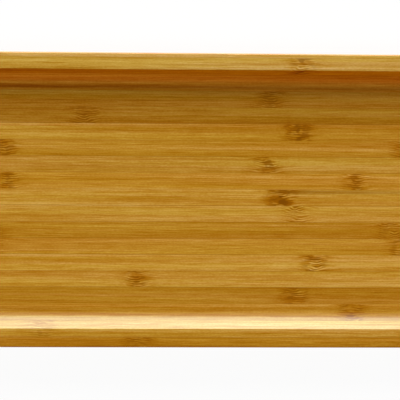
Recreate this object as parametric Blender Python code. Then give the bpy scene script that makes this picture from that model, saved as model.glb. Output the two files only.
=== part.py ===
"""A shallow bamboo display tray: a board of edge-glued staves in two plies, with a milled recess.

Metres, +Z up. +X runs along the grain and +Y to the rear. The origin is the middle of the underside.
"""

import math

import bmesh
import bpy

# Board outline
TRAY_LENGTH = 0.400
TRAY_WIDTH = 0.220
CORNER_RADIUS = 0.006  # outer corners, seen from above
EDGE_ROUND = 0.0012  # eased outer arrises, top and bottom

# Plies, from the bottom up
LOWER_PLY = 0.0048
FLOOR_SKIN = 0.0011  # what the recess leaves of the upper ply
GLUE_GAP = 0.0003  # between any two glued faces

# Staves of the upper ply: full ones between two that were ripped narrower with the board
FULL_STAVES = 17
REAR_RIP = 0.0034
FRONT_RIP = 0.0075

# Recess
RECESS_DEPTH = 0.0088
WALL_ANGLE = math.radians(45)  # of the straight slope, from level
COVE_RADIUS = 0.0082  # between the slope and the floor
FLOOR_CORNER = 0.002  # radius of the floor's corners, seen from above
REAR_RIM = 0.0124
FRONT_RIM = 0.0141
END_RIM = 0.0141

# How finely the round shapes are faceted
CORNER_STEPS = 6
EDGE_STEPS = 4
COVE_STEPS = 7
SHARP_ANGLE = math.radians(25)

OVERRUN = 0.004  # how far a cutter or a blank passes the faces that it is trimmed to

# Finish
BAMBOO_COLOUR = (0.456, 0.223, 0.030)
BAMBOO_ROUGHNESS = 0.38
TONE_SHARES = (1.0, 0.94, 1.05, 0.98, 1.08, 0.92, 1.03)  # one stave to the next, repeated

# Worked out
STAVE_WIDTH = (TRAY_WIDTH - REAR_RIP - FRONT_RIP) / FULL_STAVES
TRAY_HEIGHT = LOWER_PLY + GLUE_GAP + FLOOR_SKIN + RECESS_DEPTH
COVE_DROP = COVE_RADIUS * (1 - math.cos(WALL_ANGLE))
COVE_RUN = COVE_RADIUS * math.sin(WALL_ANGLE)
SLOPE_RUN = (RECESS_DEPTH - COVE_DROP) / math.tan(WALL_ANGLE)
WALL_RUN = SLOPE_RUN + COVE_RUN


def clear_scene():
    for old in list(bpy.data.objects):
        bpy.data.objects.remove(old, do_unlink=True)


def linked_object(name, bm):
    """Turns a finished bmesh into an object in the scene."""
    mesh = bpy.data.meshes.new(name)
    bm.to_mesh(mesh)
    bm.free()
    made = bpy.data.objects.new(name, mesh)
    bpy.context.scene.collection.objects.link(made)
    return made


def rounded_rectangle(half_length, half_width, radius, middle_y, z):
    """One closed ring of points, counter-clockwise from above."""
    ring = []
    for corner, (side_x, side_y) in enumerate(((1, 1), (-1, 1), (-1, -1), (1, -1))):
        centre_x = side_x * (half_length - radius)
        centre_y = middle_y + side_y * (half_width - radius)
        for step in range(CORNER_STEPS + 1):
            turn = math.pi / 2 * (corner + step / CORNER_STEPS)
            x = centre_x + radius * math.cos(turn)
            y = centre_y + radius * math.sin(turn)
            ring.append((x, y, z))
    return ring


def lofted_solid(name, rings):
    """A closed solid through rings of equal length, from the lowest to the highest."""
    bm = bmesh.new()
    loops = [[bm.verts.new(point) for point in ring] for ring in rings]
    count = len(loops[0])
    for below, above in zip(loops, loops[1:]):
        for i in range(count):
            j = (i + 1) % count
            bm.faces.new((below[i], below[j], above[j], above[i]))
    bm.faces.new(reversed(loops[0]))
    bm.faces.new(loops[-1])
    bmesh.ops.recalc_face_normals(bm, faces=bm.faces)
    helper = linked_object(name, bm)
    helper.hide_render = True
    helper.display_type = "WIRE"
    return helper


def board_envelope():
    """The outside of the finished board: rounded corners, with both arrises eased to a quarter round."""
    rings = []
    for step in range(EDGE_STEPS + 1):
        turn = math.pi / 2 * step / EDGE_STEPS
        inset = EDGE_ROUND * (1 - math.sin(turn))
        rings.append(board_ring(inset, EDGE_ROUND * (1 - math.cos(turn))))
    for step in range(EDGE_STEPS + 1):
        turn = math.pi / 2 * step / EDGE_STEPS
        inset = EDGE_ROUND * (1 - math.cos(turn))
        rings.append(board_ring(inset, TRAY_HEIGHT - EDGE_ROUND * (1 - math.sin(turn))))
    return lofted_solid("board_envelope", rings)


def board_ring(inset, z):
    half_length = TRAY_LENGTH / 2 - inset
    half_width = TRAY_WIDTH / 2 - inset
    return rounded_rectangle(half_length, half_width, CORNER_RADIUS - inset, 0, z)


def recess_cutter():
    """What the router takes out: a flat floor, a cove all round it and a straight slope above that."""
    floor_z = TRAY_HEIGHT - RECESS_DEPTH
    rings = []
    for step in range(COVE_STEPS + 1):
        turn = WALL_ANGLE * step / COVE_STEPS
        outward = COVE_RADIUS * math.sin(turn)
        rings.append(recess_ring(outward, floor_z + COVE_RADIUS * (1 - math.cos(turn))))
    past_rim = OVERRUN / math.tan(WALL_ANGLE)
    rings.append(recess_ring(WALL_RUN + past_rim, TRAY_HEIGHT + OVERRUN))
    return lofted_solid("recess_cutter", rings)


def recess_ring(outward, z):
    """The recess's outline where it is wider than its floor by outward."""
    half_length = TRAY_LENGTH / 2 - END_RIM - WALL_RUN + outward
    rear = TRAY_WIDTH / 2 - REAR_RIM - WALL_RUN + outward
    front = -TRAY_WIDTH / 2 + FRONT_RIM + WALL_RUN - outward
    half_width = (rear - front) / 2
    return rounded_rectangle(half_length, half_width, FLOOR_CORNER + outward, (rear + front) / 2, z)


def stave_spans(first_width, joints):
    """Where each stave of a ply starts and ends in Y, from the rear. The outer two pass the board's edges."""
    rear = TRAY_WIDTH / 2
    starts = [rear + OVERRUN]
    ends = []
    for number in range(joints):
        joint = rear - first_width - number * STAVE_WIDTH
        ends.append(joint + GLUE_GAP / 2)
        starts.append(joint - GLUE_GAP / 2)
    ends.append(-rear - OVERRUN)
    return list(zip(starts, ends))


def bamboo_material(name, tone):
    material = bpy.data.materials.new(name)
    material.use_nodes = True
    shader = material.node_tree.nodes["Principled BSDF"]
    colour = [channel * tone for channel in BAMBOO_COLOUR]
    shader.inputs["Base Color"].default_value = (*colour, 1)
    shader.inputs["Roughness"].default_value = BAMBOO_ROUGHNESS
    shader.inputs["Metallic"].default_value = 0
    material.diffuse_color = (*colour, 1)
    return material


def stave_blank(name, span, bottom, top):
    """A straight strip, longer than the board, with its origin in its middle."""
    start, end = span
    bm = bmesh.new()
    bmesh.ops.create_cube(bm, size=1)
    size = (TRAY_LENGTH + 2 * OVERRUN, start - end, top - bottom)
    bmesh.ops.scale(bm, vec=size, verts=bm.verts)
    stave = linked_object(name, bm)
    stave.location = (0, (start + end) / 2, (bottom + top) / 2)
    return stave


def trim(stave, operation, tool):
    cut = stave.modifiers.new(tool.name, "BOOLEAN")
    cut.operation = operation
    cut.solver = "EXACT"
    cut.object = tool


def settle(stave, tone):
    """Keeps the trimmed shape as the stave's own mesh and gives it its finish."""
    graph = bpy.context.evaluated_depsgraph_get()
    mesh = bpy.data.meshes.new_from_object(stave.evaluated_get(graph))
    stave.modifiers.clear()
    stave.data = mesh
    mesh.name = stave.name
    mesh.shade_smooth()
    mesh.set_sharp_from_angle(angle=SHARP_ANGLE)
    mesh.materials.clear()
    mesh.materials.append(bamboo_material(f"{stave.name}_bamboo", tone))


def make_ply(prefix, spans, bottom, top, tools):
    """A layer of staves side by side, numbered from the rear and trimmed by each tool."""
    for number, span in enumerate(spans, 1):
        stave = stave_blank(f"{prefix}_{number:02d}", span, bottom, top)
        for operation, tool in tools:
            trim(stave, operation, tool)
        settle(stave, TONE_SHARES[number % len(TONE_SHARES)])


def make_upper_ply(envelope, recess):
    spans = stave_spans(REAR_RIP, FULL_STAVES + 1)
    tools = (("INTERSECT", envelope), ("DIFFERENCE", recess))
    make_ply("upper_stave", spans, LOWER_PLY + GLUE_GAP, TRAY_HEIGHT + OVERRUN, tools)


def make_lower_ply(envelope):
    """Its joints lie half a stave away from those above, so its outer two are wider than a rip."""
    spans = stave_spans(REAR_RIP + STAVE_WIDTH / 2, FULL_STAVES)
    make_ply("lower_stave", spans, -OVERRUN, LOWER_PLY, (("INTERSECT", envelope),))


def main():
    clear_scene()
    envelope = board_envelope()
    recess = recess_cutter()
    make_upper_ply(envelope, recess)
    make_lower_ply(envelope)
    for helper in (envelope, recess):
        bpy.data.objects.remove(helper, do_unlink=True)


main()
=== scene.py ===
import math

import bmesh
import bpy
import numpy as np
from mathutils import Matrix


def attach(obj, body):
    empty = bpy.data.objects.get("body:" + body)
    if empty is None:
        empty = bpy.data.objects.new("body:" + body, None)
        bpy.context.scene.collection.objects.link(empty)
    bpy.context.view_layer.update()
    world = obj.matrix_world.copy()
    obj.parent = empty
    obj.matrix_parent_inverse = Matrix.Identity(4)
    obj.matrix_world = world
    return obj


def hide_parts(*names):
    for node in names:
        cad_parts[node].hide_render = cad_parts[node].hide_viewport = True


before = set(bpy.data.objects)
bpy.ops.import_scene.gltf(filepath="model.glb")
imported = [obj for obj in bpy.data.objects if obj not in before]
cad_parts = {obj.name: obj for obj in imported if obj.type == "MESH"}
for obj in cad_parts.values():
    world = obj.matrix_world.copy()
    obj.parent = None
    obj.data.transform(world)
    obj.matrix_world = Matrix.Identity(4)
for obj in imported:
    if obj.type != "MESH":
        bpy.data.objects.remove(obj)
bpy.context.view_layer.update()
print("frame loaded:", len(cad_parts), "staves")

mmPerMetre = 1000   # shapes are in metres, and patterns in millimetres


# Sizes are the same as the solids', so a stave lies where its node lies
board = {
    "length": 0.400,
    "width": 0.220,
    "height": 0.015,
    "corner": 0.006,        # outer corners from above
    "arris": 0.0012,        # eased outer edges
    "plyJoint": 0.00495,    # height of the glue line between the plies
    "cornerSteps": 22,
    "arrisSteps": 9,
}

recess = {
    "depth": 0.0088,
    "slope": 45.0,          # degrees from level
    "cove": 0.0082,         # radius between floor and slope
    "floorCorner": 0.002,
    "rearRim": 0.0124,
    "frontRim": 0.0141,
    "endRim": 0.0141,
    "rimArris": 0.0005,     # the sanded edge where slope meets rim
    "coveSteps": 22,
    "rimArrisSteps": 4,
}
slopeAngle = math.radians(recess["slope"])
coveRise = recess["cove"] * (1 - math.cos(slopeAngle))
wallRun = recess["cove"] * math.sin(slopeAngle) + (recess["depth"] - coveRise) / math.tan(slopeAngle)


def toLinear(hexColour):
    # sRGB hex to linear: the standard curve with its straight toe
    parts = np.array([int(hexColour[i:i + 2], 16) for i in (1, 3, 5)]) / 255
    linear = np.where(parts <= 0.04045, parts / 12.92, ((parts + 0.055) / 1.055) ** 2.4)
    return (*linear.tolist(), 1.0)


def addNode(tree, kind, inputs=None, **settings):
    # An input is a plain value, a socket, or a node, which stands for its first output. By number, Mix takes
    # its share at 0, then numbers at 2 and 3, vectors at 4 and 5 or colours at 6 and 7, and gives them at
    # outputs 0, 1 or 2. Map Range takes its value at 0, the range that it is in at 1 and 2, and the range
    # that it becomes at 3 and 4, which is 0 to 1 where nothing is given.
    made = tree.nodes.new("ShaderNode" + kind)
    for name, value in settings.items():
        setattr(made, name, value)
    for key, value in (inputs or {}).items():
        if isinstance(value, bpy.types.Node):
            value = value.outputs[0]
        if isinstance(value, bpy.types.NodeSocket):
            tree.links.new(value, made.inputs[key])
        else:
            made.inputs[key].default_value = value
    return made


def ringPoints(halfLength, rear, front, radius, z):
    # One ring of a rounded rectangle for each row of the inputs: corner centres plus radius times (cos, sin)
    steps = board["cornerSteps"] + 1
    turn = np.concatenate([np.linspace(i * 90, i * 90 + 90, steps) for i in range(4)])
    sideX = np.repeat([1, -1, -1, 1], steps)
    sideY = np.repeat([1, 1, -1, -1], steps)
    angle = np.radians(turn)
    edgeY = np.where(sideY > 0, rear[:, None], front[:, None])
    x = sideX * (halfLength - radius)[:, None] + radius[:, None] * np.cos(angle)
    y = edgeY - sideY * radius[:, None] + radius[:, None] * np.sin(angle)
    return np.stack([x, y, np.broadcast_to(z[:, None], x.shape)], axis=2)


def recessRings():
    # Floor edge outwards: an arc of the cove's radius, then the straight slope up to a small arc that
    # touches both slope and rim, and so starts this reach before their corner
    coveTurn = np.linspace(0, slopeAngle, recess["coveSteps"] + 1)
    coveOut = recess["cove"] * np.sin(coveTurn)
    coveZ = board["height"] - recess["depth"] + recess["cove"] * (1 - np.cos(coveTurn))
    reach = recess["rimArris"] * math.tan(slopeAngle / 2)
    rimTurn = np.linspace(slopeAngle, 0, recess["rimArrisSteps"] + 1)
    rimOut = wallRun + reach - recess["rimArris"] * np.sin(rimTurn)
    rimZ = board["height"] - recess["rimArris"] * (1 - np.cos(rimTurn))
    out = np.concatenate([coveOut, rimOut])
    z = np.concatenate([coveZ, rimZ])
    half = board["length"] / 2 - recess["endRim"] - wallRun + out
    rear = board["width"] / 2 - recess["rearRim"] - wallRun + out
    front = -board["width"] / 2 + recess["frontRim"] + wallRun - out
    return ringPoints(half, rear, front, recess["floorCorner"] + out, z)


def outerRings():
    # Rim outwards and down: a quarter round, the upright side, and a quarter round to the underside
    turn = np.linspace(0, math.pi / 2, board["arrisSteps"] + 1)
    inset = board["arris"] * (1 - np.concatenate([np.sin(turn), np.cos(turn)]))
    upperZ = board["height"] - board["arris"] * (1 - np.cos(turn))
    lowerZ = board["arris"] * (1 - np.sin(turn))
    half = board["length"] / 2 - inset
    side = board["width"] / 2 - inset
    return ringPoints(half, side, -side, board["corner"] - inset, np.concatenate([upperZ, lowerZ]))


def boardMesh():
    # Each ring is joined to the next by four-sided faces, and floor and underside close the first and last
    rings = np.concatenate([recessRings(), outerRings()])
    count, around = rings.shape[:2]
    here = np.arange(count * around).reshape(count, around)
    ahead = np.roll(here, -1, axis=1)
    quads = np.stack([here[:-1], here[1:], ahead[1:], ahead[:-1]], axis=2).reshape(-1, 4)
    faces = quads.tolist() + [here[0].tolist(), here[-1][::-1].tolist()]
    mesh = bpy.data.meshes.new("board")
    mesh.from_pydata(rings.reshape(-1, 3).tolist(), [], faces)
    mesh.update()
    return mesh


staves = {
    "rearRip": 0.0034,      # the narrow stave at the rear
    "frontRip": 0.0075,     # and the one at the front
    "full": 17,
    "rearHalf": 0.008,      # half the strips that these two were ripped from
    "frontHalf": 0.010,
    "overrun": 0.001,       # how far the outermost cuts pass the board
    "mergeDistance": 1e-7,
    "sharpAngle": 28.0,     # degrees: milder edges are shaded smooth
    "culmStep": (61, 37, 83),   # mm in the noise from one stave's piece of culm to the next one's
    "lowerCulm": 40,            # the lower ply's pieces come this many after the upper ply's
    "seed": 7,
}

# One row for each upper stave, from the rear: tone, warmth, paleness, how dark the glue line at its front
# is, and then two knuckles, each with its place in mm along X, darkness and waviness. One at 400 or -400 is
# off the board. Where there is a third triple, it is a dark stain along the fibres: where it starts along X,
# how far behind the stave's middle it lies, and darkness.
upperLooks = [
    (0.93, 0.00, 0.18, 0.3, (-160, 0.2, 0.5), (168, 0.2, 0.5)),
    (0.92, 0.00, 0.18, 0.1, (76, 0.8, 0.9), (-190, 0.5, 0.8)),
    # Staves 3 to 5 lie where the rear wall shades the floor: their tones, paleness and warmth are partly
    # painted shade.
    (1.02, 0.33, -0.20, 0.5, (-168, 0.3, 0.7), (158, 0.3, 0.7)),
    (0.825, 0.04, -0.15, 0.5, (54, 0.5, 0.9), (-196, 0.5, 0.8)),
    (0.815, 0.02, -0.12, 0.8, (-86, 0.35, 1.0), (187, 0.4, 0.7)),
    (0.96, 0.00, -0.05, 0.4, (74, 1.1, 1.0), (-193, 0.5, 0.8)),
    (0.97, 0.00, -0.04, 0.8, (-147, 0.8, 1.0), (155, 0.7, 1.0)),
    (0.92, 0.00, -0.02, 0.3, (51, 0.8, 1.0), (-400, 0.0, 0.0)),
    (1.01, 0.00, -0.02, 0.5, (-144, 0.7, 1.0), (117.5, 0.6, 1.0)),
    (0.98, 0.00, 0.02, 0.7, (62, 1.5, 1.0), (-198, 0.5, 0.8), (54, 4.5, 1.6)),
    (0.97, 0.00, 0.02, 0.7, (73, 0.15, 1.2), (-196, 0.5, 0.8)),
    (0.96, 0.00, -0.09, 0.9, (145, 0.12, 1.3), (-156, 0.3, 0.7)),
    (1.00, 0.00, -0.06, 0.8, (154, 0.8, 0.9), (-157, 0.3, 0.7)),
    (1.00, 0.00, 0.03, 0.7, (87, 0.9, 1.0), (-188, 0.5, 0.8)),
    (0.98, 0.00, 0.02, 1.0, (-47, 0.7, 1.0), (400, 0.0, 0.0)),
    (0.92, 0.00, -0.15, 0.3, (73, 0.7, 1.0), (-195, 0.5, 0.8)),
    # Stave 17's small negative warmth is partly a painted highlight, paler at the foot of the shining front
    # wall.
    (0.99, -0.05, -0.09, 0.4, (116, 0.6, 1.0), (-174, 0.5, 0.8), (-215, 2.1, 0.45)),
    (0.95, 0.00, 0.02, 0.9, (-117, 0.4, 0.5), (163, 0.5, 0.8)),
    (1.03, 0.00, -0.13, 0.0, (-45, 0.5, 0.9), (400, 0.0, 0.0)),
]

lowerPly = {
    "tone": (0.92, 1.05),
    "glue": 0.6,
    "firstKnuckle": (-200, 78),     # mm along X
    "internode": (262, 295),        # mm from one knuckle of a culm to its next
    "knuckleDark": (0.3, 1),
    "knuckleWaves": 0.9,
}


def cutStave(whole, name, rear, front, bottom, top):
    # The board kept between two planes across Y and two across Z; each cut is closed by a flat face
    solid = bmesh.new()
    solid.from_mesh(whole)
    cuts = (
        ((0, rear, 0), (0, 1, 0)),
        ((0, front, 0), (0, -1, 0)),
        ((0, 0, top), (0, 0, 1)),
        ((0, 0, bottom), (0, 0, -1)),
    )
    for place, away in cuts:
        everything = solid.verts[:] + solid.edges[:] + solid.faces[:]
        cut = bmesh.ops.bisect_plane(
            solid, geom=everything, plane_co=place, plane_no=away, clear_outer=True,
            dist=staves["mergeDistance"],
        )
        rim = [part for part in cut["geom_cut"] if isinstance(part, bmesh.types.BMEdge)]
        if rim:
            bmesh.ops.holes_fill(solid, edges=rim, sides=0)
    mesh = bpy.data.meshes.new(name)
    solid.to_mesh(mesh)
    solid.free()
    mesh.shade_smooth()
    mesh.set_sharp_from_angle(angle=math.radians(staves["sharpAngle"]))
    return mesh


def lowerLook(random):
    # The lower staves show only at the sides and underneath, so their tones and knuckles are left to chance
    first = random.uniform(*lowerPly["firstKnuckle"])
    second = first + random.uniform(*lowerPly["internode"])
    tone = random.uniform(*lowerPly["tone"])
    one = (first, random.uniform(*lowerPly["knuckleDark"]), lowerPly["knuckleWaves"])
    two = (second, random.uniform(*lowerPly["knuckleDark"]), lowerPly["knuckleWaves"])
    return (tone, 0, 0, lowerPly["glue"], one, two)


def giveLooks(mesh, middle, half, look, culm):
    # The same numbers at every point of a stave, for the bamboo to read. Every stave is its own piece
    # of culm, so its pattern is read far away from its neighbour's.
    tone, warmth, paleness, glue, one, two, *stain = look
    values = {
        "staveShade": (tone, warmth, paleness),
        "staveAcross": (middle * mmPerMetre, half * mmPerMetre, glue),
        "staveCulm": [step * culm for step in staves["culmStep"]],
        "staveSlope": (*slopes["byStave"].get(culm, slopes["others"]), 0),
        "staveStain": stain[0] if stain else (0, 0, 0),
        "knuckleOne": one,
        "knuckleTwo": two,
    }
    for name, value in values.items():
        attribute = mesh.attributes.new(name, "FLOAT_VECTOR", "POINT")
        attribute.data.foreach_set("vector", np.tile(np.array(value, np.float32), len(mesh.vertices)))


bamboo = {
    # from the darkest streaks to the palest, with where each shade stands between them
    "shades": ((0.0, "#8E5300"), (0.28, "#A46A0C"), (0.52, "#B68328"), (0.76, "#C79C48"), (1.0, "#D6B370")),
    "rosy": (1.01, 0.985, 1.15),    # the fibres drift between these two casts
    "golden": (0.985, 1.022, 0.80),
    "drift": (0.78, 1.22),          # what two noises add up to where the drift starts and ends
    "warm": (1.0, 0.52, 0.08),      # what full warmth keeps of red, green and blue
    "knuckle": "#784400",
    "glue": "#7A4804",
    "roughness": 0.52,              # of the darkest fine fibres
    "fibreSheen": 0.12,             # how much less it is on the palest
    "ior": 1.5,
    "specular": 0.0,                # bare bamboo is matt: all the gloss is the lacquer's
    "reliefDepth": 0.00004,         # metres
    "bundleDip": 0.35,              # how deep the fibre bundles lie in that relief
}


def readStave(tree):
    # What the patterns start from: the place in mm, where the surface faces, and the stave's own numbers
    coords = addNode(tree, "TexCoord")
    toMm = (mmPerMetre, mmPerMetre, mmPerMetre)
    place = addNode(tree, "VectorMath", {0: coords.outputs["Object"], 1: toMm}, operation="MULTIPLY")
    x, y = addNode(tree, "SeparateXYZ", {0: place}).outputs[:2]
    alongX, rearwards, upwards = addNode(tree, "SeparateXYZ", {0: coords.outputs["Normal"]}).outputs
    grain = {"place": place, "x": x, "y": y, "alongX": alongX, "rearwards": rearwards, "upwards": upwards}
    looks = (
        "staveShade", "staveAcross", "staveCulm", "staveSlope", "staveStain", "knuckleOne", "knuckleTwo",
    )
    for name in looks:
        grain[name] = addNode(tree, "Attribute", attribute_name=name).outputs["Vector"]
    tone, warmth, paleness = addNode(tree, "SeparateXYZ", {0: grain["staveShade"]}).outputs
    middle, half, glue = addNode(tree, "SeparateXYZ", {0: grain["staveAcross"]}).outputs
    fromMiddle = addNode(tree, "Math", {0: y, 1: middle}, operation="SUBTRACT")
    grain.update(tone=tone, warmth=warmth, paleness=paleness, half=half, glue=glue, fromMiddle=fromMiddle)
    return grain


knuckles = {
    "reachSquared": 130,        # square mm: a knuckle has faded to about a third 11.4 mm away
    "threadSpacing": 1.7,       # mm, about two pixels of the photograph, as finer ones would not show
    "threadBend": 16.0,         # radians
    "threadSwing": 0.70,        # dark and pale threads differ by this either way from threadDark
    "threadDark": 0.25,
    "threadDepth": 0.34,
    "breakEdge": (0.36, 0.56),  # the threads are broken up by noise over this range
    "breakKeeps": (0.3, 1.2),
    "haloEdge": (0.36, 0.64),
    "haloDark": (0.02, 0.42),
    "coreThreads": 0.07,        # how much the threads break up the cores
    "coreEdge": (0.46, 0.64),
    "coreDark": 0.72,
}


def findKnuckle(tree, grain):
    # Knuckle minus place gives the distance along X, and leaves the knuckle's darkness and waviness beside
    # it. The nearer of the two counts, and it fades as exp(-distance squared / reach squared).
    along = addNode(tree, "CombineXYZ", {0: grain["x"]})
    away, far = [], []
    for name in ("knuckleOne", "knuckleTwo"):
        away.append(addNode(tree, "VectorMath", {0: grain[name], 1: along}, operation="SUBTRACT"))
        distance = addNode(tree, "SeparateXYZ", {0: away[-1]})
        far.append(addNode(tree, "Math", {0: distance}, operation="ABSOLUTE"))
    secondNearer = addNode(tree, "Math", {0: far[1], 1: far[0]}, operation="LESS_THAN")
    nearest = addNode(tree, "Mix", {0: secondNearer, 4: away[0], 5: away[1]}, data_type="VECTOR")
    distance, darkness, waviness = addNode(tree, "SeparateXYZ", {0: nearest.outputs[1]}).outputs
    squared = addNode(tree, "Math", {0: distance, 1: distance}, operation="MULTIPLY")
    fading = addNode(tree, "Math", {0: squared, 1: -1 / knuckles["reachSquared"]}, operation="MULTIPLY")
    close = addNode(tree, "Math", {0: fading}, operation="EXPONENT")
    stirred = addNode(tree, "Math", {0: close, 1: waviness}, operation="MULTIPLY")
    grain.update(darkness=darkness, waviness=waviness, close=close, stirred=stirred)


fibres = {
    # Noise patterns: length along the fibres and width across them in mm, detail and roughness. A single
    # fibre is about 0.02 mm thick and can't show, so the finest are drawn 0.7 or 0.8 mm wide, a pixel
    # of the photograph.
    "patterns": {
        "slow": (140, 22, 1, 0.4),      # how the fibres wander
        "swirl": (14, 6, 1, 0.5),       # how they swirl at a knuckle
        "bend": (9, 5.5, 1, 0.4),       # how a knuckle's threads bend and break
        "broad": (420, 8, 1, 0.5),      # three widths of streaks
        "middle": (280, 2.6, 1, 0.5),
        "fine": (100, 0.8, 2, 0.55),
        "short": (16, 0.7, 1, 0.5),     # short threads between them
        "pore": (1.8, 0.7, 0, 0.5),
        "halo": (11, 2.8, 1, 0.5),      # the patches of a knuckle's halo
        "core": (6, 1.8, 1, 0.5),       # and of its dark cores
    },
    "wander": 1.1,          # mm for the whole swing of the noise, of which about half is reached
    "swirl": 2.2,
    "bow": 0.35,            # how much a knuckle spreads the fibres round it, as a share of their place
    "bundleLength": 45,     # mm
    "bundleSpacing": 1.15,  # mm, as in the real culm
    "bundleEdge": (0.38, 0.12),
    "bundleDark": 0.13,
    "middleShade": 0.53,
    "weights": {"broad": 0.50, "middle": 0.38, "fine": 0.50, "short": 0.44, "pore": 0.20},
}


def bendFibres(tree, grain):
    # Fibres wander by up to half a millimetre. Close to a knuckle they swirl by up to about one more,
    # and bow away from the stave's middle line, as round a lens.
    ownPlace = addNode(tree, "VectorMath", {0: grain["place"], 1: grain["staveCulm"]}, operation="ADD")
    for name in ("slow", "swirl", "bend"):
        length, width, detail, rough = fibres["patterns"][name]
        stretch = (1 / length, 1 / width, 1 / width)
        stretched = addNode(tree, "VectorMath", {0: ownPlace, 1: stretch}, operation="MULTIPLY")
        values = {"Vector": stretched, "Scale": 1, "Detail": detail, "Roughness": rough}
        grain[name] = addNode(tree, "TexNoise", values)
    shifts = []
    for name, size in (("slow", fibres["wander"]), ("swirl", fibres["swirl"])):
        noise = grain[name].outputs["Color"]
        centred = addNode(tree, "VectorMath", {0: noise, 1: (0.5, 0.5, 0.5)}, operation="SUBTRACT")
        shifts.append(addNode(tree, "VectorMath", {0: centred, 1: (0, size, size)}, operation="MULTIPLY"))
    wandered = addNode(tree, "VectorMath", {0: ownPlace, 1: shifts[0]}, operation="ADD")
    swirlShift = addNode(tree, "VectorMath", {0: shifts[1], "Scale": grain["stirred"]}, operation="SCALE")
    swirled = addNode(tree, "VectorMath", {0: wandered, 1: swirlShift}, operation="ADD")
    spread = addNode(tree, "Math", {0: grain["fromMiddle"], 1: grain["stirred"]}, operation="MULTIPLY")
    bow = addNode(tree, "Math", {0: spread, 1: -fibres["bow"]}, operation="MULTIPLY")
    bowShift = addNode(tree, "CombineXYZ", {1: bow})
    grain["fibre"] = addNode(tree, "VectorMath", {0: swirled, 1: bowShift}, operation="ADD")


def drawStreaks(tree, grain):
    # Streaks are noise stretched along the fibres, and bundles are thin dark threads about a millimetre
    # apart, dashes on the face and dots on the end grain. The level of shade, from dark to pale, is
    # middleShade plus each pattern's weight times its noise less a half, less the bundles, plus paleness.
    for name in ("broad", "middle", "fine", "short", "pore", "halo", "core"):
        length, width, detail, rough = fibres["patterns"][name]
        stretch = (1 / length, 1 / width, 1 / width)
        stretched = addNode(tree, "VectorMath", {0: grain["fibre"], 1: stretch}, operation="MULTIPLY")
        values = {"Vector": stretched, "Scale": 1, "Detail": detail, "Roughness": rough}
        grain[name] = addNode(tree, "TexNoise", values)

    stretch = (1 / fibres["bundleLength"], 1 / fibres["bundleSpacing"], 1 / fibres["bundleSpacing"])
    stretched = addNode(tree, "VectorMath", {0: grain["fibre"], 1: stretch}, operation="MULTIPLY")
    cell = addNode(tree, "TexVoronoi", {"Vector": stretched, "Scale": 1})
    edge, inside = fibres["bundleEdge"]
    bundle = addNode(tree, "MapRange", {0: cell, 1: edge, 2: inside}, interpolation_type="SMOOTHSTEP")

    weights = fibres["weights"]
    start = fibres["middleShade"] - sum(weights.values()) / 2
    level = addNode(tree, "Math", {0: bundle, 1: -fibres["bundleDark"], 2: start}, operation="MULTIPLY_ADD")
    for name, weight in weights.items():
        level = addNode(tree, "Math", {0: grain[name], 1: weight, 2: level}, operation="MULTIPLY_ADD")
    level = addNode(tree, "Math", {0: level, 1: grain["paleness"]}, operation="ADD")
    grain.update(bundle=bundle, level=level)


def drawKnuckle(tree, grain):
    # Dark threads with paler ones between, bent like the lines of a fingerprint, in a soft brown halo:
    # sin(2 pi y / spacing + bend), broken up by noise, fading twice as fast as the halo
    swing, dark, depth = knuckles["threadSwing"], knuckles["threadDark"], knuckles["threadDepth"]
    bent = addNode(tree, "Math", {0: grain["bend"], 1: grain["stirred"]}, operation="MULTIPLY")
    perMm = 2 * math.pi / knuckles["threadSpacing"]
    straight = addNode(tree, "Math", {0: grain["y"], 1: perMm}, operation="MULTIPLY")
    turn = addNode(tree, "Math", {0: bent, 1: knuckles["threadBend"], 2: straight}, operation="MULTIPLY_ADD")
    wave = addNode(tree, "Math", {0: turn}, operation="SINE")
    thread = addNode(tree, "Math", {0: wave, 1: swing, 2: dark}, operation="MULTIPLY_ADD")
    (low, high), (least, most) = knuckles["breakEdge"], knuckles["breakKeeps"]
    breaks = {0: grain["bend"], 1: low, 2: high, 3: least, 4: most}
    kept = addNode(tree, "MapRange", breaks, interpolation_type="SMOOTHSTEP")
    broken = addNode(tree, "Math", {0: thread, 1: kept}, operation="MULTIPLY")
    narrow = addNode(tree, "Math", {0: grain["close"], 1: 2.0}, operation="POWER")
    threads = addNode(tree, "Math", {0: broken, 1: narrow}, operation="MULTIPLY")
    wavy = addNode(tree, "Math", {0: threads, 1: grain["waviness"]}, operation="MULTIPLY")

    (low, high), (least, most) = knuckles["haloEdge"], knuckles["haloDark"]
    edges = {0: grain["halo"], 1: low, 2: high, 3: least, 4: most}
    halo = addNode(tree, "MapRange", edges, interpolation_type="SMOOTHSTEP")
    faded = addNode(tree, "Math", {0: halo, 1: grain["close"]}, operation="MULTIPLY")
    haloDark = addNode(tree, "Math", {0: faded, 1: grain["darkness"]}, operation="MULTIPLY")
    threaded = addNode(tree, "Math", {0: wavy, 1: -depth, 2: grain["level"]}, operation="MULTIPLY_ADD")
    level = addNode(tree, "Math", {0: threaded, 1: haloDark}, operation="SUBTRACT")
    grain.update(threads=threads, narrow=narrow, level=level)


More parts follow.
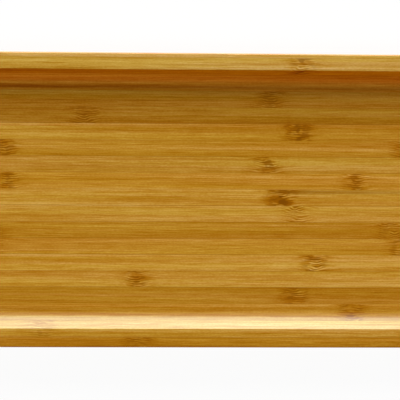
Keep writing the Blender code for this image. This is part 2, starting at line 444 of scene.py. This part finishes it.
def shadeStave(tree, grain):
    # The level picks a shade, which drifts between two casts from fibre to fibre and takes the stave's tone
    ramp = addNode(tree, "ValToRGB", {0: grain["level"]})
    stops = ramp.color_ramp.elements
    for inner in bamboo["shades"][1:-1]:
        stops.new(inner[0])
    for stop, (position, shade) in zip(stops, bamboo["shades"]):
        stop.position = position
        stop.color = toLinear(shade)
    greens = []
    for name in ("broad", "middle"):
        parts = addNode(tree, "SeparateXYZ", {0: grain[name].outputs["Color"]})
        greens.append(parts.outputs[1])
    both = addNode(tree, "Math", {0: greens[0], 1: greens[1]}, operation="ADD")
    start, end = bamboo["drift"]
    drift = addNode(tree, "MapRange", {0: both, 1: start, 2: end}, interpolation_type="SMOOTHSTEP")
    cast = addNode(tree, "Mix", {0: drift, 4: bamboo["rosy"], 5: bamboo["golden"]}, data_type="VECTOR")
    drifted = addNode(tree, "VectorMath", {0: ramp, 1: cast.outputs[1]}, operation="MULTIPLY")
    toned = addNode(tree, "VectorMath", {0: drifted, "Scale": grain["tone"]}, operation="SCALE")
    return toned.outputs[0]


slopes = {
    # painted shade and highlight as warmth and tone on slopes: 2 and 3 at the rear, 17 and 18 in front
    "byStave": {2: (1.08, 0.84), 3: (0.72, 1.03), 17: (-0.70, 0.92), 18: (-0.55, 0.96)},
    "others": (0.42, 0.95),     # these slope at the ends alone
    "slanting": (0.985, 0.80),  # the height of a unit normal from the last level face to a full slope
    "upright": (0.45, 0.62),    # and from the last upright face to a slope
}


def paintSlopeLight(tree, grain, colour):
    # Painted light on the slopes: the rear slope, which lies in shade, is painted deeper and warmer than the
    # floor, and the front slope, which catches the light, paler and yellower as a painted highlight; the end
    # slopes get a milder warm darkening
    shares = []
    for start, end in (slopes["slanting"], slopes["upright"]):
        turned = {0: grain["upwards"], 1: start, 2: end}
        shares.append(addNode(tree, "MapRange", turned, interpolation_type="SMOOTHSTEP"))
    slanting, grain["topSide"] = shares
    sloping = addNode(tree, "Math", {0: slanting, 1: grain["topSide"]}, operation="MULTIPLY")
    slopeWarmth, slopeTone = addNode(tree, "SeparateXYZ", {0: grain["staveSlope"]}).outputs[:2]
    warmth = addNode(tree, "Mix", {0: sloping, 2: grain["warmth"], 3: slopeWarmth}, data_type="FLOAT")
    tone = addNode(tree, "Mix", {0: sloping, 2: 1.0, 3: slopeTone}, data_type="FLOAT")
    ends = {0: warmth, 4: (1, 1, 1), 5: bamboo["warm"]}
    share = addNode(tree, "Mix", ends, data_type="VECTOR", clamp_factor=False)
    warmed = addNode(tree, "VectorMath", {0: colour, 1: share.outputs[1]}, operation="MULTIPLY")
    toned = addNode(tree, "VectorMath", {0: warmed, "Scale": tone}, operation="SCALE")
    return toned.outputs[0]


def darkenCores(tree, grain, colour):
    # In the darkest knuckles a few brown cores show through the halo, broken up by the threads
    values = {0: grain["threads"], 1: knuckles["coreThreads"], 2: grain["core"]}
    broken = addNode(tree, "Math", values, operation="MULTIPLY_ADD")
    low, high = knuckles["coreEdge"]
    edges = {0: broken, 1: low, 2: high, 4: knuckles["coreDark"]}
    core = addNode(tree, "MapRange", edges, interpolation_type="SMOOTHSTEP")
    close = addNode(tree, "Math", {0: core, 1: grain["narrow"]}, operation="MULTIPLY")
    dark = addNode(tree, "Math", {0: close, 1: grain["darkness"]}, operation="MULTIPLY", use_clamp=True)
    cored = addNode(tree, "Mix", {0: dark, 6: colour, 7: toLinear(bamboo["knuckle"])}, data_type="RGBA")
    return cored.outputs[2]


stainLine = {
    "startsOver": (-6, 8),      # mm from a stain's start
    "thinsOver": (0, 170),
    "narrowness": 0.55,         # per square mm: about 2 mm wide
}


def drawStain(tree, grain, colour):
    # A dark streak that starts softly and thins out: exp(-narrowness * distance across squared)
    begins, across, darkness = addNode(tree, "SeparateXYZ", {0: grain["staveStain"]}).outputs
    along = addNode(tree, "Math", {0: grain["x"], 1: begins}, operation="SUBTRACT")
    first, last = stainLine["startsOver"]
    starts = addNode(tree, "MapRange", {0: along, 1: first, 2: last}, interpolation_type="SMOOTHSTEP")
    first, last = stainLine["thinsOver"]
    thins = addNode(tree, "MapRange", {0: along, 1: first, 2: last, 3: 1, 4: 0})
    aside = addNode(tree, "Math", {0: grain["fromMiddle"], 1: across}, operation="SUBTRACT")
    squared = addNode(tree, "Math", {0: aside, 1: aside}, operation="MULTIPLY")
    fading = addNode(tree, "Math", {0: squared, 1: -stainLine["narrowness"]}, operation="MULTIPLY")
    band = addNode(tree, "Math", {0: fading}, operation="EXPONENT")
    here = addNode(tree, "Math", {0: starts, 1: thins}, operation="MULTIPLY")
    level = addNode(tree, "Math", {0: here, 1: darkness}, operation="MULTIPLY")
    soft = addNode(tree, "Math", {0: band, 1: level}, operation="MULTIPLY")
    dark = addNode(tree, "Math", {0: soft, 1: grain["fine"]}, operation="MULTIPLY", use_clamp=True)
    stained = addNode(tree, "Mix", {0: dark, 6: colour, 7: toLinear(bamboo["knuckle"])}, data_type="RGBA")
    return stained.outputs[2]


glueLine = {
    "edge": (0.75, 0.25),   # mm from the joint: nothing is dark beyond the first, all within the second
}


def drawGlueLine(tree, grain, colour):
    # A soft dark line along a stave's front edge, darker where the streaks are pale
    toFront = addNode(tree, "Math", {0: grain["fromMiddle"], 1: grain["half"]}, operation="ADD")
    outer, inner = glueLine["edge"]
    line = addNode(tree, "MapRange", {0: toFront, 1: outer, 2: inner}, interpolation_type="SMOOTHSTEP")
    broken = addNode(tree, "Math", {0: line, 1: grain["middle"]}, operation="MULTIPLY")
    dark = addNode(tree, "Math", {0: broken, 1: grain["glue"]}, operation="MULTIPLY", use_clamp=True)
    glued = addNode(tree, "Mix", {0: dark, 6: colour, 7: toLinear(bamboo["glue"])}, data_type="RGBA")
    return glued.outputs[2]


# painted shade: a darker line at the foot of the cove, strongest at the rear
footShade = {
    "inside": 0.8,              # mm from the foot of the cove in to the line's middle
    "widthSquared": 2.4,        # square mm
    "keeps": (0.75, 0.66, 0.45),    # of red, green and blue
    "growsOver": (-60, 60),     # mm along Y, from the share in front to all of it at the rear
    "frontShare": 0.3,
}


def paintFootShade(tree, grain, colour):
    # A thin painted shade at the foot of the cove round the floor, strongest at the rear, where the rear
    # wall shades the floor: exp(-distance from the line squared / width squared), on the top side only
    floorMiddle = (recess["frontRim"] - recess["rearRim"]) / 2
    halfLength = board["length"] / 2 - recess["endRim"] - wallRun
    halfWidth = board["width"] / 2 - (recess["frontRim"] + recess["rearRim"]) / 2 - wallRun
    outside = []
    for place, middle, half in ((grain["x"], 0, halfLength), (grain["y"], floorMiddle, halfWidth)):
        off = addNode(tree, "Math", {0: place, 1: middle * mmPerMetre}, operation="SUBTRACT")
        away = addNode(tree, "Math", {0: off}, operation="ABSOLUTE")
        outside.append(addNode(tree, "Math", {0: away, 1: half * mmPerMetre}, operation="SUBTRACT"))
    beyond = addNode(tree, "Math", {0: outside[0], 1: outside[1]}, operation="MAXIMUM")
    fromLine = addNode(tree, "Math", {0: beyond, 1: footShade["inside"]}, operation="ADD")
    squared = addNode(tree, "Math", {0: fromLine, 1: fromLine}, operation="MULTIPLY")
    fading = addNode(tree, "Math", {0: squared, 1: -1 / footShade["widthSquared"]}, operation="MULTIPLY")
    band = addNode(tree, "Math", {0: fading}, operation="EXPONENT")
    onTop = addNode(tree, "Math", {0: band, 1: grain["topSide"]}, operation="MULTIPLY")
    front, rear = footShade["growsOver"]
    share = addNode(tree, "MapRange", {0: grain["y"], 1: front, 2: rear, 3: footShade["frontShare"], 4: 1})
    foot = addNode(tree, "Math", {0: onTop, 1: share}, operation="MULTIPLY")
    keeps = addNode(tree, "Mix", {0: foot, 4: (1, 1, 1), 5: footShade["keeps"]}, data_type="VECTOR")
    footed = addNode(tree, "VectorMath", {0: colour, 1: keeps.outputs[1]}, operation="MULTIPLY")
    return footed.outputs[0]


endGrain = {
    "facing": (0.75, 0.95),     # how far a unit normal points along X
    "dots": 0.45,               # how dark the bundles' ends are
    "dark": 0.18,               # and what lies between them
}


def darkenEnds(tree, grain, colour):
    # Where the staves are cut across, each bundle is a dark dot
    facing = addNode(tree, "Math", {0: grain["alongX"]}, operation="ABSOLUTE")
    start, end = endGrain["facing"]
    atEnd = addNode(tree, "MapRange", {0: facing, 1: start, 2: end}, interpolation_type="SMOOTHSTEP")
    dotted = {0: grain["bundle"], 1: endGrain["dots"], 2: endGrain["dark"]}
    dots = addNode(tree, "Math", dotted, operation="MULTIPLY_ADD")
    dark = addNode(tree, "Math", {0: atEnd, 1: dots}, operation="MULTIPLY")
    ended = addNode(tree, "Mix", {0: dark, 6: colour, 7: toLinear(bamboo["knuckle"])}, data_type="RGBA")
    return ended.outputs[2]


lacquer = {
    "coat": 0.06,               # rubbed dull all over
    "frontWallCoat": 1.0,       # but glossy on the front wall, the one that shines in the photograph
    "roughness": 0.50,
    "ior": 1.66,                # above the usual 1.5, for as strong a shine as the photograph has
    "leansBack": (0.04, 0.22),  # how far the front wall's normal leans to the rear
}


def lacquerOver(tree, grain, shader):
    # The front wall is where the surface leans to the rear and isn't upright, as the board's rear side is
    low, high = lacquer["leansBack"]
    leans = {0: grain["rearwards"], 1: low, 2: high}
    leaning = addNode(tree, "MapRange", leans, interpolation_type="SMOOTHSTEP")
    frontWall = addNode(tree, "Math", {0: leaning, 1: grain["topSide"]}, operation="MULTIPLY")
    ends = {0: frontWall, 2: lacquer["coat"], 3: lacquer["frontWallCoat"]}
    coat = addNode(tree, "Mix", ends, data_type="FLOAT")
    tree.links.new(coat.outputs[0], shader.inputs["Coat Weight"])
    shader.inputs["Coat Roughness"].default_value = lacquer["roughness"]
    shader.inputs["Coat IOR"].default_value = lacquer["ior"]


def sandSmooth(tree, grain, shader):
    # Sanding leaves the fine fibres a little smoother where they are pale, and opens the vessels in the
    # bundles, which lie lower
    values = {0: grain["fine"], 1: -bamboo["fibreSheen"], 2: bamboo["roughness"]}
    rough = addNode(tree, "Math", values, operation="MULTIPLY_ADD")
    tree.links.new(rough.outputs[0], shader.inputs["Roughness"])
    fibreRelief = addNode(tree, "Math", {0: grain["fine"], 1: grain["middle"]}, operation="ADD")
    dips = {0: grain["bundle"], 1: -bamboo["bundleDip"], 2: fibreRelief}
    relief = addNode(tree, "Math", dips, operation="MULTIPLY_ADD")
    height = {"Height": relief, "Strength": 1.0, "Distance": bamboo["reliefDepth"]}
    bump = addNode(tree, "Bump", height)
    tree.links.new(bump.outputs[0], shader.inputs["Normal"])


def makeBamboo():
    # Carbonised bamboo under satin lacquer: honey brown strips whose fibres run along X as fine streaks,
    # with short dark bundles, and a knuckle where the fibres swirl and darken. Sanded smooth, softly shiny.
    material = bpy.data.materials.new("carbonisedBambooSatinLacquer")
    material.use_nodes = True
    tree = material.node_tree
    shader = tree.nodes["Principled BSDF"]
    shader.inputs["IOR"].default_value = bamboo["ior"]
    shader.inputs["Metallic"].default_value = 0
    shader.inputs["Specular IOR Level"].default_value = bamboo["specular"]
    grain = readStave(tree)
    for step in (findKnuckle, bendFibres, drawStreaks, drawKnuckle):
        step(tree, grain)
    colour = shadeStave(tree, grain)
    for step in (paintSlopeLight, darkenCores, drawStain, drawGlueLine, paintFootShade, darkenEnds):
        colour = step(tree, grain, colour)
    tree.links.new(colour, shader.inputs["Base Color"])
    lacquerOver(tree, grain, shader)
    sandSmooth(tree, grain, shader)
    print("bamboo finished:", len(tree.nodes), "nodes")
    return material


def makeStaves():
    whole = boardMesh()
    material = makeBamboo()
    random = np.random.default_rng(staves["seed"])
    rear = board["width"] / 2
    past = staves["overrun"]
    pitch = (board["width"] - staves["rearRip"] - staves["frontRip"]) / staves["full"]
    firstJoint = rear - staves["rearRip"]
    upperJoints = firstJoint - pitch * np.arange(staves["full"] + 1)
    lowerJoints = firstJoint - pitch * (np.arange(staves["full"]) + 0.5)
    plies = (
        ("upper_stave", "upper_bamboo", upperJoints, board["plyJoint"], board["height"] + past),
        ("lower_stave", "lower_bamboo", lowerJoints, -past, board["plyJoint"]),
    )
    for prefix, slotName, joints, bottom, top in plies:
        edges = np.concatenate([[rear], joints, [-rear]])
        last = len(edges) - 1
        for number, (start, end) in enumerate(zip(edges, edges[1:]), 1):
            name = f"{prefix}_{number:02d}"
            startCut = start + past if number == 1 else start
            endCut = end - past if number == last else end
            mesh = cutStave(whole, name + "_bamboo", startCut, endCut, bottom, top)
            # the outer two are shaded as what is left of wider strips, so no glue line is at the front edge
            middle, half = (start + end) / 2, (start - end) / 2
            if number == 1:
                middle, half = end + staves["rearHalf"], staves["rearHalf"]
            if number == last:
                middle, half = start - staves["frontHalf"], staves["frontHalf"]
            if prefix == "upper_stave":
                giveLooks(mesh, middle, half, upperLooks[number - 1], number)
            else:
                giveLooks(mesh, middle, half, lowerLook(random), number + staves["lowerCulm"])
            mesh.materials.append(material)
            piece = bpy.data.objects.new(name + "_bamboo", mesh)
            bpy.context.scene.collection.objects.link(piece)
            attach(piece, "root")
            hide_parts(name)
    bpy.data.meshes.remove(whole)


studio = {
    "floor": "#F4F3F1",
    "floorRoughness": 0.9,
    "floorReach": 60.0,         # metres to each side
    "floorGap": 0.0002,         # how far it lies below the tray
    "whiteShare": 0.92,         # how much of what the camera sees of the floor is plain white
    "room": "#484642",
}

rearLight = {
    "width": 3.0,           # metres
    "height": 1.34,
    "distance": 2.6,
    "elevation": 15.0,      # degrees above the floor
    "power": 158.0,         # watts
    "turn": 180.0,          # degrees round the tray from straight in front
}

frontLight = {
    "width": 1.6,
    "height": 1.6,
    "distance": 2.8,
    "elevation": 38.0,
    "power": 36.0,
    "turn": 62.0,           # one to the left and one to the right
}


def addSoftbox(name, light, turn):
    # A rectangle of light that faces the tray
    lamp = bpy.data.lights.new(name, "AREA")
    lamp.shape = "RECTANGLE"
    lamp.size = light["width"]
    lamp.size_y = light["height"]
    lamp.energy = light["power"]
    box = bpy.data.objects.new(name, lamp)
    rise, around = math.radians(light["elevation"]), math.radians(turn)
    level = light["distance"] * math.cos(rise)
    up = light["distance"] * math.sin(rise)
    box.location = (level * math.sin(around), -level * math.cos(around), up)
    box.rotation_euler = (math.radians(90) - rise, 0, around)
    bpy.context.scene.collection.objects.link(box)


def makePaper():
    # Matt white paper: no gloss and a soft shadow. Seen directly, mirrored or through glass, it is mostly
    # plain white.
    paper = bpy.data.materials.new("mattWhitePaper")
    paper.use_nodes = True
    tree = paper.node_tree
    shader = tree.nodes["Principled BSDF"]
    shader.inputs["Base Color"].default_value = toLinear(studio["floor"])
    shader.inputs["Roughness"].default_value = studio["floorRoughness"]
    path = addNode(tree, "LightPath")
    seen = path.outputs["Is Camera Ray"]
    for ray in ("Is Glossy Ray", "Is Transmission Ray"):
        seen = addNode(tree, "Math", {0: seen, 1: path.outputs[ray]}, operation="MAXIMUM")
    share = addNode(tree, "Math", {0: seen, 1: studio["whiteShare"]}, operation="MULTIPLY")
    white = addNode(tree, "Emission", {"Color": (1, 1, 1, 1), "Strength": 1.0})
    mixed = addNode(tree, "MixShader", {0: share, 1: shader, 2: white})
    tree.links.new(mixed.outputs[0], tree.nodes["Material Output"].inputs["Surface"])
    return paper


def makeStudio():
    scene = bpy.context.scene
    scene.view_settings.view_transform = "Standard"
    reach = studio["floorReach"]
    corners = [(-reach, -reach, 0), (reach, -reach, 0), (reach, reach, 0), (-reach, reach, 0)]
    floorMesh = bpy.data.meshes.new("studioFloor")
    floorMesh.from_pydata(corners, [], [(0, 1, 2, 3)])
    floorMesh.materials.append(makePaper())
    floor = bpy.data.objects.new("studioFloor", floorMesh)
    floor.location.z = -studio["floorGap"]
    scene.collection.objects.link(floor)

    world = bpy.data.worlds.new("softRoom")
    scene.world = world
    world.use_nodes = True
    tree = world.node_tree
    tree.nodes.clear()
    output = addNode(tree, "OutputWorld")
    light = addNode(tree, "Background", {"Color": toLinear(studio["room"]), "Strength": 1})
    tree.links.new(light.outputs[0], output.inputs["Surface"])

    addSoftbox("rearSoftbox", rearLight, rearLight["turn"])
    addSoftbox("leftSoftbox", frontLight, -frontLight["turn"])
    addSoftbox("rightSoftbox", frontLight, frontLight["turn"])
    print("studio lit")


camera = {
    "place": (-0.0454, 0.0417, 1.2),
    "turn": (-2.00, -2.18, 0.36),  # degrees: the photograph looks almost straight down
    "focalPixels": 1590.1,
    "pictureWidth": 400,           # pixels
    "sensorWidth": 36,             # mm
    "clipStart": 0.01,
}


def makeCamera():
    lens = bpy.data.cameras.new("overhead")
    lens.sensor_width = camera["sensorWidth"]
    lens.lens = camera["focalPixels"] / camera["pictureWidth"] * lens.sensor_width
    lens.clip_start = camera["clipStart"]
    eye = bpy.data.objects.new("overhead", lens)
    eye.location = camera["place"]
    eye.rotation_euler = [math.radians(angle) for angle in camera["turn"]]
    bpy.context.scene.collection.objects.link(eye)
    bpy.context.scene.camera = eye
    print("camera set")


makeStaves()
makeStudio()
makeCamera()
